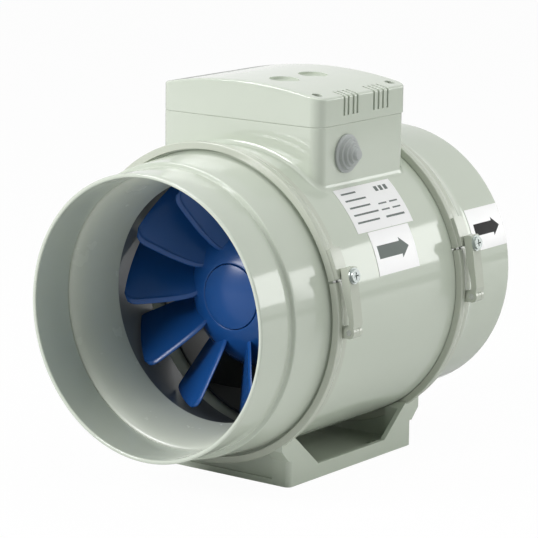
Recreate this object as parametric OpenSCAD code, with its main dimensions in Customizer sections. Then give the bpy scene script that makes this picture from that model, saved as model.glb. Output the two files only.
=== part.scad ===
// Mixed-flow inline extractor fan for round ducting.
// X runs along the air flow, Z is up, and the origin is the centre of the foot's underside.

/* [Duct] */
// Outside diameter of the two duct spigots
spigot_d = 198; // [160:1:240]
// Length over both spigots
overall_length = 302; // [290:1:370]
// Length of each spigot that the duct slides over
spigot_grip = 33; // [20:1:34]
// Wall of the spigots
spigot_wall = 3; // [2:0.5:4]
// Height of the casing's underside above the mounting surface
foot_rise = 14.5; // [14.5:0.5:30]

/* [Casing] */
// How much bigger than the spigots the motor casing is in diameter
casing_step = 16; // [12:1:20]
// Wall of the motor casing
casing_wall = 3; // [2:0.5:4]
// How much narrower than the spigots the collector's throat is in diameter
throat_step = 27.2; // [26:0.2:34]
// Distance from the middle of the fan to each casing joint
joint_station = 75.25; // [72:0.25:90]
// Thickness of the joint flanges
flange_t = 4; // [3:0.5:5]
// How far the joint flanges stand out of the casing
flange_rise = 1.2; // [1:0.1:2]
// Thickness of the rubber seal in each joint
seal_t = 1.6; // [1:0.2:2]

/* [Clamps] */
// Width of the clamp rings along the flow
clamp_w = 16.5; // [15.5:0.5:20]
// Thickness of the clamp rings outside the flange groove
clamp_wall = 3.8; // [3.4:0.1:5]
// Width of the latch straps
strap_w = 10; // [8:1:12]
// Diameter of the clamp and latch hinge pins
hinge_pin_d = 4; // [3:0.5:5]

/* [Terminal box] */
// Length of the terminal box cover along the flow
box_l = 106.5; // [100:0.5:110]
// Width of the terminal box across the flow
box_w = 138; // [130:1:142]
// Height of the joint between box and cover above the duct axis
box_seam = 124.4; // [122:0.2:130]
// Height of the cover from its seam to its crown
cover_h = 27; // [24:0.5:32]
// Wall of the box and its cover
box_wall = 3; // [2:0.5:4]
// Diameter of the cable entry hole
cable_hole_d = 20.4; // [16.4:0.2:25.4]

/* [Mounting foot] */
// Length of the foot along the flow
foot_l = 150; // [146:1:156]
// Width of the foot across the flow
foot_w = 134; // [126:1:140]
// Thickness of the foot's base plate
foot_plate = 4; // [3:0.5:6]
// Spacing of the foot's screw slots along the flow
foot_hole_x = 100; // [80:1:104]
// Spacing of the foot's screw slots across the flow
foot_hole_y = 100; // [80:1:104]
// Width of the screw slots
foot_slot_w = 5.5; // [4:0.5:7]
// Length of the screw slots
foot_slot_l = 11; // [9:0.5:14]

/* [Impeller and vanes] */
// Number of impeller blades
blade_count = 10; // [7:1:12]
// Number of guide vanes
vane_count = 11; // [7:1:13]
// Diameter of the motor hub at its widest
hub_d = 116; // [112:1:140]
// Thickness of the impeller blades
blade_t = 2.4; // [1.6:0.2:3.2]
// Gap between the blade tips and the shroud
tip_gap = 1.5; // [1:0.1:2.5]
// Diameter of the motor shaft
shaft_d = 8; // [6:0.5:9]

/* [Hidden] */

$fn = 96;

// Clearances
seat_gap = 0.3;
pin_gap = 0.05;
press_gap = 0.02;
thread_gap = 0.15;
label_gap = 0.05;
cut = 1;
// Turn of the rings' seams, which keeps them between two guide vanes
seam_turn = 22;

// Radii and stations along the duct
spigot_r = spigot_d / 2;
casing_r = spigot_r + casing_step / 2;
casing_bore_r = casing_r - casing_wall;
axis_height = casing_r + foot_rise;
half_length = overall_length / 2;
grip_end = half_length - spigot_grip;
outlet_taper = 12;
casing_end = joint_station - seal_t / 2;
spigot_end = joint_station + seal_t / 2;
flange_r = casing_r + flange_rise;
shoulder_r = spigot_r + 3.6;
neck_r = casing_r - 1.5;
outlet_grip_end = spigot_end + flange_t + 8 + outlet_taper;
rim_round = 1.2;
clamp_bore_r = casing_r + seat_gap;
groove_r = flange_r + seat_gap;
clamp_r = groove_r + clamp_wall;
clamp_low_r = groove_r + 1.8;
clamp_half = clamp_w / 2;
clamp_stations = [-joint_station, joint_station];

// Inlet collector and the shroud round the impeller
throat_r = spigot_r - throat_step / 2;
collector_t = 2.2;
collector_rim_r = shoulder_r - spigot_wall - seat_gap;
collector_mouth_r = spigot_r - spigot_wall + 0.6;
collector_front = -grip_end + 2;
throat_x = -casing_end;
shroud_front = throat_x + 0.5;
shroud_back = -20;
shroud_t = 2;
shroud_r1 = throat_r + 2.6;
shroud_r2 = casing_bore_r - seat_gap - shroud_t;

// Impeller hub: half an ellipse, closed in front by the nose cap
hub_r = hub_d / 2;
hub_t = 2.5;
hub_back = -12;
hub_depth = 47;
nose_r = 23.4;
web_x = -38.2;
web_t = 2.8;
first_blade = 12;
blade_sweep = [-76.5, 42.5, -12, -14];
blade_camber = -3.5;
blade_root_end = -28;
blade_tip_end = -42;
blade_tip_start = -67;
blade_root_low = 21.5;

// Motor: the rotor turns round the outside of the stator
shaft_r = shaft_d / 2;
can_front = web_x + 0.1;
can_back = 4;
can_gap = 1.45;
can_r = hub_at(hub_r - hub_t, hub_depth - hub_t, can_front) - can_gap;
can_t = 2.2;
core_x1 = -18;
core_x2 = 0;
boss_r = 14.5;
boss_front = -30;
stator_r = can_r - 7.5;
slot_r1 = boss_r + 8.5;
slot_r2 = stator_r - 4;
slot_w = 6;
slot_mouth = 2;
end_turn = 7;
wire_gap = 0.3;
air_gap = 0.6;
slot_count = 12;
bearing_r = 11;
bearing_w = 7;
plate_x = 10;
plate_t = 4;
plate_r = hub_r - hub_t - 1;
plate_screw_pcd = 2 * plate_r - 11;
plate_screw_r = 1.9;
web_screw_pcd = 34;

// Guide vanes and the drum that holds the motor
drum_front = -9.5;
drum_back = 48;
drum_bore_r = hub_r - hub_t;
vane_ring_r = casing_bore_r - seat_gap;
vane_ring_t = 2;
ring_front = -4;
vane_x1 = -3;
vane_x2 = drum_back - 1;
vane_t = 2.2;
vane_swirl = -22;
ring_back = 60;
tail_depth = 34;
tail_steps = 14;
tail_wall = 4.5;

// Motor lead, from the windings up through the duct into the terminal box
lead_r = 3;
lead_gap = 0.4;
lead_x = 22;
lead_bend = 8;
lead_height = 24;
lead_top = casing_r + 9;
lead_angle = 90;
first_vane = lead_angle + 180 / vane_count + 5;

// Terminal box
box_x = 4.75;
box_step = 1.5;
box_corner = 9;
cover_crown_r = 320;
column_r = 5.5;
column_inset = 9;
column_floor = 3;
slit_groups = [-12, 24];
slit_pitch = 5.2;
slit_w = 2;
slit_reach = 10;
slit_rise = 6;
recess_x = -2.6;
recess_apart = 33.8;
recess_y = -17.5;
recess_r = 10.5;
recess_depth = 1.8;
screw_head_r = 3.1;
screw_head_h = 2;
screw_r = 1.5;
gasket_w = 1.4;
gasket_t = 1.2;
grommet_x = -17;
grommet_z = 104;
grommet_flange_r = cable_hole_d / 2 + 3.3;
capacitor_r = 12;
capacitor_l = 55;
capacitor_x = 38;
cradle_w = 20;
cradle_t = 3;
cradle_apart = 32;
block_x = -14;
block_l = 44;

// Latches: a strap hinged on the foot's ring, screwed down over the end of the clamp band
strap_angle = 8.5;
strap_face = 9.2;
strap_t = 6.3;
strap_end = 22;
strap_screw = 16.2;
latch_pin_out = clamp_r + 4.3;
latch_pin_up = -21.5;
latch_ear_half = 1.6;
knuckle_r = 4.2;
band_start = 15.8;
ring_stop = 15;
shoe_start = band_start + 0.3;
shoe_end = 26.5;
shoe_rise = strap_face - strap_t - seat_gap;
latch_screw_r = 2.4;
latch_washer_r = 5.6;
latch_head_r = 4.5;
latch_head_h = 2.4;
latch_slot_r = 3.9;
latch_slot_floor = 1.9;
pin_r = hinge_pin_d / 2;
hinge_out = clamp_r + 6.2;
hinge_r = 5;
tongue_half = 3.7;
hinge_lap = 4;
ear_web = 11;
ear_inset = 0.3;
notch_step = 14.6;

// Foot
foot_wall = 3.5;
foot_post_w = 14.5;
foot_corner = 4;
foot_end_inset = 2.1;
foot_sill = 10.3;
foot_window = 81;
foot_flare_z = 18.5;

// Labels, as [first station, last station, first angle, last angle]
rating_top = acos((box_w / 2 + 1.9) / casing_r);
rating_area = [-35, 31.5, 29.7, rating_top];
flow_area = [-24.5, 24, 12.8, 29.4];
outlet_area = [half_length - 44, half_length - 1.5, 11.7, 29.5];
label_t = 0.3;

// Colours
shell_grey = [0.76, 0.79, 0.75];
blade_blue = [0.09, 0.24, 0.55];
dark_grey = [0.22, 0.23, 0.23];
zinc = [0.72, 0.73, 0.74];
rubber_grey = [0.45, 0.47, 0.47];
copper = [0.72, 0.4, 0.2];
white = [0.93, 0.93, 0.92];

// Points along half the ellipse of the hub, r first, from its widest part to its flat tip
function hub_curve(r, depth, steps) = [for (i = [0:steps])
    [r * cos(90 * i / steps), hub_back - depth * sin(90 * min(i, steps - 1) / steps)]];
// Radius of that ellipse at a station
function hub_at(r, depth, x) = r * sqrt(1 - pow((hub_back - x) / depth, 2));
// Radius of the shroud's bore at a station
function shroud_at(x) =
    shroud_r1 + (shroud_r2 - shroud_r1) * (x - shroud_front) / (shroud_back - shroud_front);
// Bell mouth: a quarter ellipse from the mouth to the throat, thickened by t
function bell_curve(t, steps) = [for (i = [0:steps])
    [throat_r + t + (collector_mouth_r - throat_r) * (1 - sin(90 * i / steps)),
        throat_x - (throat_x - collector_front) * cos(90 * i / steps)]];
// Point on a curve with one control point between its ends
function corner_point(a, b, c, u) = a * pow(1 - u, 2) + 2 * b * u * (1 - u) + c * u * u;
// Thin strip along a curve of points, t thick in its second direction
function strip(points, t) = concat([for (p = points) p + [0, t / 2]],
    [for (i = [len(points) - 1:-1:0]) points[i] - [0, t / 2]]);
// Station and height of a blade's middle line, from its leading to its trailing edge
function blade_line(steps) = [for (i = [0:steps]) let (u = i / steps)
    [blade_sweep[0] + u * (blade_sweep[2] - blade_sweep[0]),
        blade_sweep[1] + u * (blade_sweep[3] - blade_sweep[1]) + 4 * blade_camber * u * (1 - u)]];
// The same for a guide vane, which turns the swirl back along the duct
function vane_line(steps) = [for (i = [0:steps]) let (u = i / steps)
    [vane_x1 + u * (vane_x2 - vane_x1), vane_swirl * pow(1 - u, 2)]];

// ---------- helpers ----------
// Angles around the duct are counted from the latch side (-Y), upwards over the top.

// Turns a shape drawn round Z, with Z as the station along the duct, onto the duct axis
module on_axis() {
    translate([0, 0, axis_height]) rotate([0, 90, 0]) children();
}

// Carries a shape drawn at the latch side of an axis through the origin round to an angle
module turned(a) {
    translate([0, 0, axis_height]) rotate([-a, 0, 0]) children();
}

// Turned ring between two radii and two stations along the duct
module ring(r1, r2, x1, x2) {
    on_axis() rotate([0, 0, seam_turn]) rotate_extrude() translate([r1, x1]) square([r2 - r1, x2 - x1]);
}

// Bar on the duct axis
module bar(r, x1, x2) {
    on_axis() translate([0, 0, x1]) cylinder(r = r, h = x2 - x1);
}

// Part of a turned shape between two angles; its children are its profile
module sector(from, to) {
    on_axis() rotate([0, 0, 270 - to]) rotate_extrude(angle = to - from) children();
}

// Bar parallel to the flow, at a distance out and up from the axis, drawn at the latch side
module side_bar(out, up, r, x1, x2) {
    translate([x1, -out, up]) rotate([0, 90, 0]) cylinder(r = r, h = x2 - x1, $fn = 48);
}

// Plate square to the flow; its children are drawn with X outwards and Y upwards
module side_plate(x1, x2) {
    translate([x1, 0, 0]) rotate([90, 0, 90]) mirror([1, 0, 0]) linear_extrude(x2 - x1) children();
}

module round_rect(l, w, r) {
    square([l - 2 * r, w], center = true);
    square([l, w - 2 * r], center = true);
    for (sx = [-1, 1], sy = [-1, 1])
        translate([sx * (l / 2 - r), sy * (w / 2 - r)]) circle(r = r, $fn = 48);
}

// Bolts round the duct axis at a pitch circle, with their heads towards the inlet
module axial_screws(count, pcd, shank_r, head_r, head_h, x1, x2) {
    for (i = [0:count - 1]) turned(45 + 360 * i / count) {
        side_bar(pcd / 2, 0, shank_r, x1, x2);
        side_bar(pcd / 2, 0, head_r, x1 - head_h, x1);
    }
}

module axial_holes(count, pcd, r, x1, x2) {
    for (i = [0:count - 1]) turned(45 + 360 * i / count) side_bar(pcd / 2, 0, r, x1, x2);
}

// ---------- duct ends ----------

// Rounded rim of a spigot, as radius and distance from the middle of the fan
function rim_points() = [for (a = [180:-15:0]) [spigot_r - spigot_wall / 2 + spigot_wall / 2 * cos(a),
    half_length - rim_round + rim_round * sin(a)]];
// The flanged end that the clamp holds, from its outer edge inwards
function flange_points(bore) = [[neck_r, spigot_end + flange_t + 0.5],
    [flange_r, spigot_end + flange_t], [flange_r, spigot_end], [bore, spigot_end]];

// The inlet steps out behind the grip, outside and inside, where it seats the collector
module inlet_spigot() {
    seat_r = collector_rim_r + seat_gap;
    shoulder = [for (a = [60:-20:0]) [shoulder_r - 1.6 + 1.6 * cos(a), grip_end - 1.6 + 1.6 * sin(a)]];
    color(shell_grey) on_axis() mirror([0, 0, 1]) rotate_extrude() polygon(concat(rim_points(),
        [[spigot_r, grip_end + 1.4], [spigot_r + 0.6, grip_end + 0.6]], shoulder, flange_points(seat_r),
        [[seat_r, -collector_front + seat_gap], [spigot_r - spigot_wall, -collector_front + seat_gap]]));
}

// The outlet tapers quickly from its flange to a long plain spigot
module outlet_spigot() {
    color(shell_grey) on_axis() rotate_extrude() polygon(concat(rim_points(),
        [[spigot_r, outlet_grip_end], [neck_r, outlet_grip_end - outlet_taper]],
        flange_points(casing_bore_r - 2),
        [[casing_bore_r - 2, outlet_grip_end - outlet_taper], [spigot_r - spigot_wall, outlet_grip_end]]));
}

module inlet_collector() {
    rim = [[collector_rim_r, collector_front + 8], [collector_rim_r, collector_front]];
    outer = bell_curve(collector_t, 12);
    color(shell_grey) on_axis() rotate_extrude() polygon(concat(bell_curve(0, 12),
        [for (i = [12:-1:3]) outer[i]], [[collector_rim_r - collector_t, collector_front + 8]], rim));
}

module joint_seal(x) {
    color(rubber_grey) ring(casing_bore_r + 0.5, flange_r, x - seal_t / 2, x + seal_t / 2);
}

module inlet_seal() {
    joint_seal(-joint_station);
}

module outlet_seal() {
    joint_seal(joint_station);
}

// ---------- motor casing ----------

// Plan position of a screw column of the terminal box
function column_at(sx, sy) = [box_x - box_step / 2 + sx * ((box_l - box_step) / 2 - column_inset),
    sy * (box_w / 2 - column_inset)];

// Puts its children at the four columns, at the height of the duct axis
module at_columns() {
    for (sx = [-1, 1], sy = [-1, 1]) translate([0, 0, axis_height]) translate(column_at(sx, sy)) children();
}

module box_plan(inset) {
    translate([box_x - box_step / 2, 0])
        round_rect(box_l - box_step - 2 * inset, box_w - 2 * inset, box_corner - inset);
}

module box_block(inset, z1, z2) {
    translate([0, 0, axis_height + z1]) linear_extrude(z2 - z1) box_plan(inset);
}

// Walls of the terminal box, standing on the casing
module box_walls() {
    low = casing_r / 2;
    difference() {
        union() {
            difference() {
                box_block(0, low, box_seam);
                box_block(box_wall, low - cut, box_seam + cut);
            }
            at_columns() translate([0, 0, low]) cylinder(r = column_r, h = box_seam - low);
            capacitor_cradle();
            block_pad();
        }
        bar(casing_r - casing_wall / 2, -joint_station, joint_station);
        box_block(box_wall - gasket_w, box_seam - gasket_t, box_seam + cut);
    }
    // The rim outside the gasket groove, and the column tops inside it
    difference() {
        box_block(0, box_seam - gasket_t, box_seam);
        box_block(box_wall - gasket_w, box_seam - gasket_t - cut, box_seam + cut);
    }
    intersection() {
        at_columns() translate([0, 0, box_seam - gasket_t]) cylinder(r = column_r, h = gasket_t);
        box_block(box_wall, box_seam - gasket_t, box_seam);
    }
}

module capacitor_cradle() {
    for (sy = [-1, 1]) difference() {
        translate([capacitor_x - cradle_w / 2, (sy * cradle_apart - cradle_t) / 2, axis_height + casing_r - 6])
            cube([cradle_w, cradle_t, capacitor_r + 8]);
        capacitor_body(capacitor_r + seat_gap);
    }
}

module block_pad() {
    translate([block_x - 6, -block_l / 2 + 6, axis_height + casing_r - 12])
        cube([12, block_l - 12, 14]);
}

module motor_casing() {
    color(shell_grey) difference() {
        union() {
            ring(casing_bore_r, casing_r, -casing_end, casing_end);
            ring(casing_bore_r, flange_r, -casing_end, -casing_end + flange_t);
            ring(casing_bore_r, flange_r, casing_end - flange_t, casing_end);
            ring(casing_bore_r - 2.5, casing_bore_r + cut, ring_back + 0.6, ring_back + 3);
            box_walls();
        }
        at_columns() translate([0, 0, box_seam - 14]) cylinder(r = screw_r + thread_gap, h = 15, $fn = 32);
        translate([grommet_x, 0, axis_height + grommet_z]) rotate([90, 0, 0])
            cylinder(r = cable_hole_d / 2, h = box_w / 2 + cut);
        translate([lead_x, 0, axis_height]) cylinder(r = lead_r + lead_gap, h = casing_r + 5, $fn = 48);
    }
}

module impeller_shroud() {
    color(shell_grey) on_axis() rotate_extrude() polygon([[shroud_r1, shroud_front],
        [casing_bore_r - seat_gap, shroud_front], [casing_bore_r - seat_gap, shroud_front + shroud_t],
        [shroud_r1 + shroud_t + 1, shroud_front + shroud_t], [shroud_r2 + shroud_t, shroud_back],
        [shroud_r2, shroud_back]]);
}

// ---------- guide vanes and motor mounting ----------

// Slab standing out from the duct axis at an angle, from a radius to the casing; its children
// are its section, with X along the flow and Y round the duct
module blade_slab(a, r) {
    turned(a) translate([0, -r, 0]) rotate([90, 0, 0]) linear_extrude(casing_r - r) children();
}

module guide_vanes() {
    color(dark_grey) difference() {
        union() {
            ring(vane_ring_r - vane_ring_t, vane_ring_r, ring_front, ring_back);
            ring(drum_bore_r, hub_r, drum_front, drum_back);
            ring(drum_bore_r - 12, drum_bore_r + cut, plate_x + plate_t, plate_x + 2 * plate_t);
            for (i = [0:vane_count - 1]) intersection() {
                ring(hub_r - 1, vane_ring_r - 1, vane_x1, vane_x2);
                blade_slab(first_vane + 360 * i / vane_count, hub_r / 2) polygon(strip(vane_line(8), vane_t));
            }
        }
        axial_holes(4, plate_screw_pcd, plate_screw_r + thread_gap, plate_x, plate_x + 3 * plate_t);
        translate([lead_x, 0, axis_height]) cylinder(r = lead_r + lead_gap, h = casing_r, $fn = 48);
    }
}

// Half ellipse behind the drum, ending in a small flat tip
function tail_curve(r, x, depth) =
    [for (i = [0:tail_steps])
        [r * cos(90 * i / tail_steps), x + depth * sin(90 * min(i, tail_steps - 1) / tail_steps)]];

module tail_cone() {
    outer = tail_curve(hub_r, drum_back + 0.2, tail_depth);
    back = tail_curve(hub_r - tail_wall, drum_back, tail_depth - 2);
    inner = [for (i = [len(back) - 1:-1:0]) back[i]];
    color(dark_grey) on_axis() rotate_extrude() polygon(concat(outer, inner,
        [[hub_r - tail_wall, drum_back - 8], [drum_bore_r - seat_gap, drum_back - 8],
            [drum_bore_r - seat_gap, drum_back + 0.2]]));
}

module motor_plate() {
    color(zinc) difference() {
        union() {
            bar(plate_r, plate_x, plate_x + plate_t);
            bar(boss_r, boss_front, plate_x + plate_t);
        }
        bar(bearing_r - 2, boss_front - cut, plate_x + plate_t + cut);
        bar(bearing_r + press_gap, boss_front - cut, boss_front + bearing_w);
        bar(bearing_r + press_gap, plate_x + plate_t - bearing_w, plate_x + plate_t + cut);
        axial_holes(4, plate_screw_pcd, plate_screw_r + thread_gap, plate_x - cut, plate_x + plate_t + cut);
        turned(lead_angle) side_bar(lead_height, 0, lead_r + lead_gap, plate_x - cut, plate_x + plate_t + cut);
    }
}

module motor_screws() {
    color(zinc) axial_screws(4, plate_screw_pcd, plate_screw_r, 3.5, 2.2, plate_x, plate_x + 2 * plate_t);
}

module motor_bearings() {
    color(zinc) {
        ring(shaft_r + pin_gap, bearing_r, boss_front, boss_front + bearing_w);
        ring(shaft_r + pin_gap, bearing_r, plate_x + plate_t - bearing_w, plate_x + plate_t);
    }
}

// Block along the core at the latch side, between two radii
module slot_block(r1, r2, w) {
    translate([core_x1 - cut, -r2, -w / 2]) cube([core_x2 - core_x1 + 2 * cut, r2 - r1, w]);
}

module stator_core() {
    color(zinc) difference() {
        ring(boss_r + press_gap, stator_r, core_x1, core_x2);
        for (i = [0:slot_count - 1]) turned(360 * i / slot_count) {
            slot_block(slot_r1, slot_r2, slot_w);
            slot_block(slot_r2 - cut, stator_r + cut, slot_mouth);
        }
    }
}

module stator_windings() {
    color(copper) {
        ring(slot_r1 - 3, slot_r2 + 0.5, core_x1 - end_turn, core_x1 - wire_gap);
        ring(slot_r1 - 3, slot_r2 + 0.5, core_x2 + wire_gap, core_x2 + end_turn);
        for (i = [0:slot_count - 1]) turned(360 * i / slot_count)
            slot_block(slot_r1 + wire_gap, slot_r2 - wire_gap, slot_w - 2 * wire_gap);
    }
}

// Lead from the windings: back through the motor plate, then straight up
module motor_lead() {
    bend_z = lead_height + lead_bend;
    color(rubber_grey) {
        turned(lead_angle) side_bar(lead_height, 0, lead_r, core_x2 + end_turn + seat_gap, lead_x - lead_bend);
        translate([lead_x - lead_bend, 0, axis_height + bend_z]) rotate([90, 0, 0]) rotate([0, 0, -90])
            rotate_extrude(angle = 90) translate([lead_bend, 0]) circle(r = lead_r, $fn = 32);
        translate([lead_x, 0, axis_height + bend_z]) cylinder(r = lead_r, h = lead_top - bend_z, $fn = 32);
    }
}

// ---------- impeller and rotor ----------

// Blade outline seen from the side of the duct, as radius and station
module blade_outline() {
    root = hub_curve(hub_r - 1.2, hub_depth - 1.2, 24);
    tip_front = [shroud_at(blade_tip_start) - tip_gap, blade_tip_start];
    tip_back = [shroud_at(blade_tip_end) - tip_gap, blade_tip_end];
    tip = [for (i = [0:8])
        corner_point([throat_r - 14.4, -72.9], [throat_r - 5.9, -79], tip_front, i / 8)];
    polygon(concat([for (p = root) if (p[0] > hub_r - blade_root_low && p[1] < blade_root_end) p],
        tip, [tip_back]));
}

module impeller() {
    outer = hub_curve(hub_r, hub_depth, 20);
    inner = hub_curve(hub_r - hub_t, hub_depth - hub_t, 20);
    color(blade_blue) difference() {
        union() {
            on_axis() rotate_extrude() intersection() {
                polygon(concat(outer, [for (i = [20:-1:0]) inner[i]]));
                translate([nose_r, -100]) square([100, 200]);
            }
            ring(9, hub_at(hub_r - 1, hub_depth - 1, web_x - web_t), web_x - web_t, web_x);
            for (i = [0:blade_count - 1]) intersection() {
                on_axis() rotate_extrude() blade_outline();
                blade_slab(first_blade + 360 * i / blade_count, hub_r / 2 - 4)
                    polygon(strip(blade_line(8), blade_t));
            }
        }
        bar(10 + seat_gap, web_x - web_t - cut, web_x + cut);
        axial_holes(3, web_screw_pcd, screw_r + thread_gap, web_x - 2 * web_t, web_x + cut);
    }
}

module nose_cap() {
    skirt_r = nose_r - seat_gap;
    outer = [for (p = hub_curve(hub_r, hub_depth, 40)) if (p[0] < skirt_r) p];
    inner = [for (i = [len(outer) - 1:-1:0]) [max(0, outer[i][0] - 2), outer[i][1] + 2]];
    color(blade_blue) on_axis() rotate_extrude() polygon(concat(
        [[skirt_r, outer[0][1] + 0.5]], outer, inner,
        [[skirt_r - 2, outer[0][1] + 8], [skirt_r, outer[0][1] + 8]]));
}

module impeller_screws() {
    color(zinc) axial_screws(3, web_screw_pcd, screw_r, 2.8, 1.8, web_x - web_t, can_front + can_t + 2);
}

module rotor_can() {
    color(zinc) difference() {
        union() {
            bar(can_r, can_front, can_back);
            bar(10, can_front - 8, can_front + cut);
        }
        bar(can_r - can_t, can_front + can_t, can_back + cut);
        bar(shaft_r + press_gap, can_front - 8 - cut, can_back);
        axial_holes(3, web_screw_pcd, screw_r + thread_gap, can_front - cut, can_front + 2 * can_t);
    }
}

module rotor_core() {
    color(dark_grey) ring(stator_r + air_gap, can_r - can_t - press_gap, core_x1, core_x2);
}

module motor_shaft() {
    color(zinc) bar(shaft_r, can_front - 8, plate_x + plate_t + 2);
}

// ---------- terminal box ----------

module cover_plan(inset) {
    translate([box_x, 0]) round_rect(box_l - 2 * inset, box_w - 2 * inset, box_corner - inset);
}

// Cover-shaped solid: the plan raised to the crown, cut by the crown's cylinder
module cover_solid(inset) {
    intersection() {
        translate([0, 0, axis_height + box_seam - (inset > 0 ? cut : 0)])
            linear_extrude(cover_h + cut) cover_plan(inset);
        translate([-box_l, 0, axis_height + box_seam + cover_h - cover_crown_r]) rotate([0, 90, 0])
            cylinder(r = cover_crown_r - inset, h = 3 * box_l, $fn = 360);
    }
}

// Two groups of four vent slits over each long edge of the cover
module cover_slits() {
    for (sy = [-1, 1], group = slit_groups, i = [-1.5:1:1.5])
        translate([group + slit_pitch * i - slit_w / 2, sy > 0 ? box_w / 2 - slit_reach : -box_w / 2 - cut,
            axis_height + box_seam + slit_rise]) cube([slit_w, slit_reach + cut, cover_h]);
}

module terminal_box_cover() {
    color(shell_grey) difference() {
        union() {
            difference() {
                cover_solid(0);
                cover_solid(box_wall);
            }
            intersection() {
                at_columns() translate([0, 0, box_seam]) cylinder(r = column_r, h = cover_h);
                cover_solid(0);
            }
        }
        cover_slits();
        at_columns() {
            translate([0, 0, box_seam + column_floor]) cylinder(r = screw_head_r + 0.5, h = cover_h, $fn = 48);
            translate([0, 0, box_seam - cut]) cylinder(r = screw_r + seat_gap, h = cover_h, $fn = 32);
        }
        for (dx = [-1, 1]) translate([recess_x + dx * recess_apart / 2, recess_y,
            axis_height + box_seam + cover_h - recess_depth]) cylinder(r = recess_r, h = 5);
    }
}

module cover_gasket() {
    color(rubber_grey) translate([0, 0, axis_height + box_seam - gasket_t]) linear_extrude(gasket_t)
        difference() {
            box_plan(box_wall - gasket_w + thread_gap);
            box_plan(box_wall - thread_gap);
            for (sx = [-1, 1], sy = [-1, 1]) translate(column_at(sx, sy)) circle(r = column_r + thread_gap);
        }
}

module cover_screws() {
    color(zinc) at_columns() {
        translate([0, 0, box_seam + column_floor]) cylinder(r = screw_head_r, h = screw_head_h, $fn = 48);
        translate([0, 0, box_seam - 10]) cylinder(r = screw_r, h = column_floor + 10, $fn = 32);
    }
}

// Stepped rubber grommet, closed at its tip, clipped into the box's latch-side wall
module cable_grommet() {
    face = box_w / 2;
    neck_radius = cable_hole_d / 2 - seat_gap;
    steps = 4;
    step_h = 2.3;
    color(rubber_grey) translate([grommet_x, 0, axis_height + grommet_z]) rotate([90, 0, 0])
        difference() {
            rotate_extrude() polygon(concat(
                [[0, face - box_wall - 2], [neck_radius + 2.2, face - box_wall - 2],
                    [neck_radius + 2.2, face - box_wall], [neck_radius, face - box_wall],
                    [neck_radius, face], [grommet_flange_r, face], [grommet_flange_r, face + 1.4],
                    [grommet_flange_r - 0.8, face + 2]],
                [for (i = [0:steps - 1], part = [0, 1, 2]) let (r = grommet_flange_r - 2.4 - 2.4 * i)
                    [r + (part == 0 ? 0.5 : part == 1 ? 0 : -0.5),
                        face + 2 + step_h * (i + (part == 2 ? 1 : part == 1 ? 0.8 : 0))]],
                [[0, face + 2 + step_h * steps]]));
            translate([0, 0, face - box_wall - 2 - cut]) cylinder(r = 4, h = box_wall + 2);
        }
}

module terminal_block() {
    z = axis_height + casing_r + 2;
    color(white) difference() {
        translate([block_x - 7, -block_l / 2, z]) cube([14, block_l, 12]);
        for (i = [-1.5:1:1.5]) {
            translate([block_x, i * 10, z + 4]) cylinder(r = 2.3, h = 10, $fn = 32);
            translate([block_x - 8, i * 10, z + 3]) rotate([0, 90, 0]) cylinder(r = 1.6, h = 16, $fn = 32);
        }
    }
}

module terminal_screws() {
    color(zinc) for (i = [-1.5:1:1.5])
        translate([block_x, i * 10, axis_height + casing_r + 6.2]) cylinder(r = 2, h = 5, $fn = 32);
}

module capacitor_body(r) {
    translate([capacitor_x, capacitor_l / 2, axis_height + casing_r + capacitor_r + 1]) rotate([90, 0, 0])
        cylinder(r = r, h = capacitor_l);
}

module capacitor() {
    color(white) capacitor_body(capacitor_r);
}

// ---------- foot and clamps ----------

// Section of a clamp ring, with the joint flanges' groove inside it; steep towards the inlet
module clamp_profile() {
    groove_half = seal_t / 2 + flange_t + seat_gap;
    polygon([[clamp_bore_r, -clamp_half], [clamp_r - 0.8, -clamp_half], [clamp_r, -clamp_half + 0.8],
        [clamp_r, -clamp_half / 2], [clamp_low_r, 0.5], [clamp_low_r, groove_half],
        [clamp_bore_r + 0.8, clamp_half], [clamp_bore_r, clamp_half], [clamp_bore_r, groove_half],
        [groove_r, groove_half], [groove_r, -groove_half], [clamp_bore_r, -groove_half]]);
}

// Ear round a pin at a distance out and up, with a web whose edges are low and high
// and whose foot comes in to the radius inner
module ear(x1, x2, out, up, r, low, high, inner) {
    foot = sqrt(pow(inner, 2) - pow(low * high > 0 ? min(abs(low), abs(high)) : 0, 2));
    side_bar(out, up, r, x1, x2);
    side_plate(x1, x2) translate([foot, low]) square([out - foot, high - low]);
}

module ear_pair(half_gap, out, up, r, low, high, inner) {
    ear(ear_inset - clamp_half, -half_gap, out, up, r, low, high, inner);
    ear(half_gap, clamp_half - ear_inset, out, up, r, low, high, inner);
}

// The foot's half of a clamp: a ring with ears for the latch pin and for the band's hinge pin
module lower_ring() {
    difference() {
        union() {
            sector(hinge_lap - 180, ring_stop) clamp_profile();
            turned(strap_angle) ear(-latch_ear_half, latch_ear_half, latch_pin_out, latch_pin_up, knuckle_r,
                latch_pin_up - knuckle_r, latch_pin_up + knuckle_r, groove_r + seat_gap);
            turned(180) ear_pair(tongue_half + seat_gap, hinge_out, 0, hinge_r, 0, ear_web,
                groove_r + seat_gap);
        }
        turned(strap_angle) side_bar(latch_pin_out, latch_pin_up, pin_r + pin_gap, -clamp_w, clamp_w);
        turned(180) side_bar(hinge_out, 0, pin_r + pin_gap, -clamp_w, clamp_w);
        for (i = [1:5]) turned(-notch_step * i)
            translate([-2, -clamp_r - cut, -1.6]) cube([4, 1.6 + cut, 3.2]);
    }
}

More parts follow.
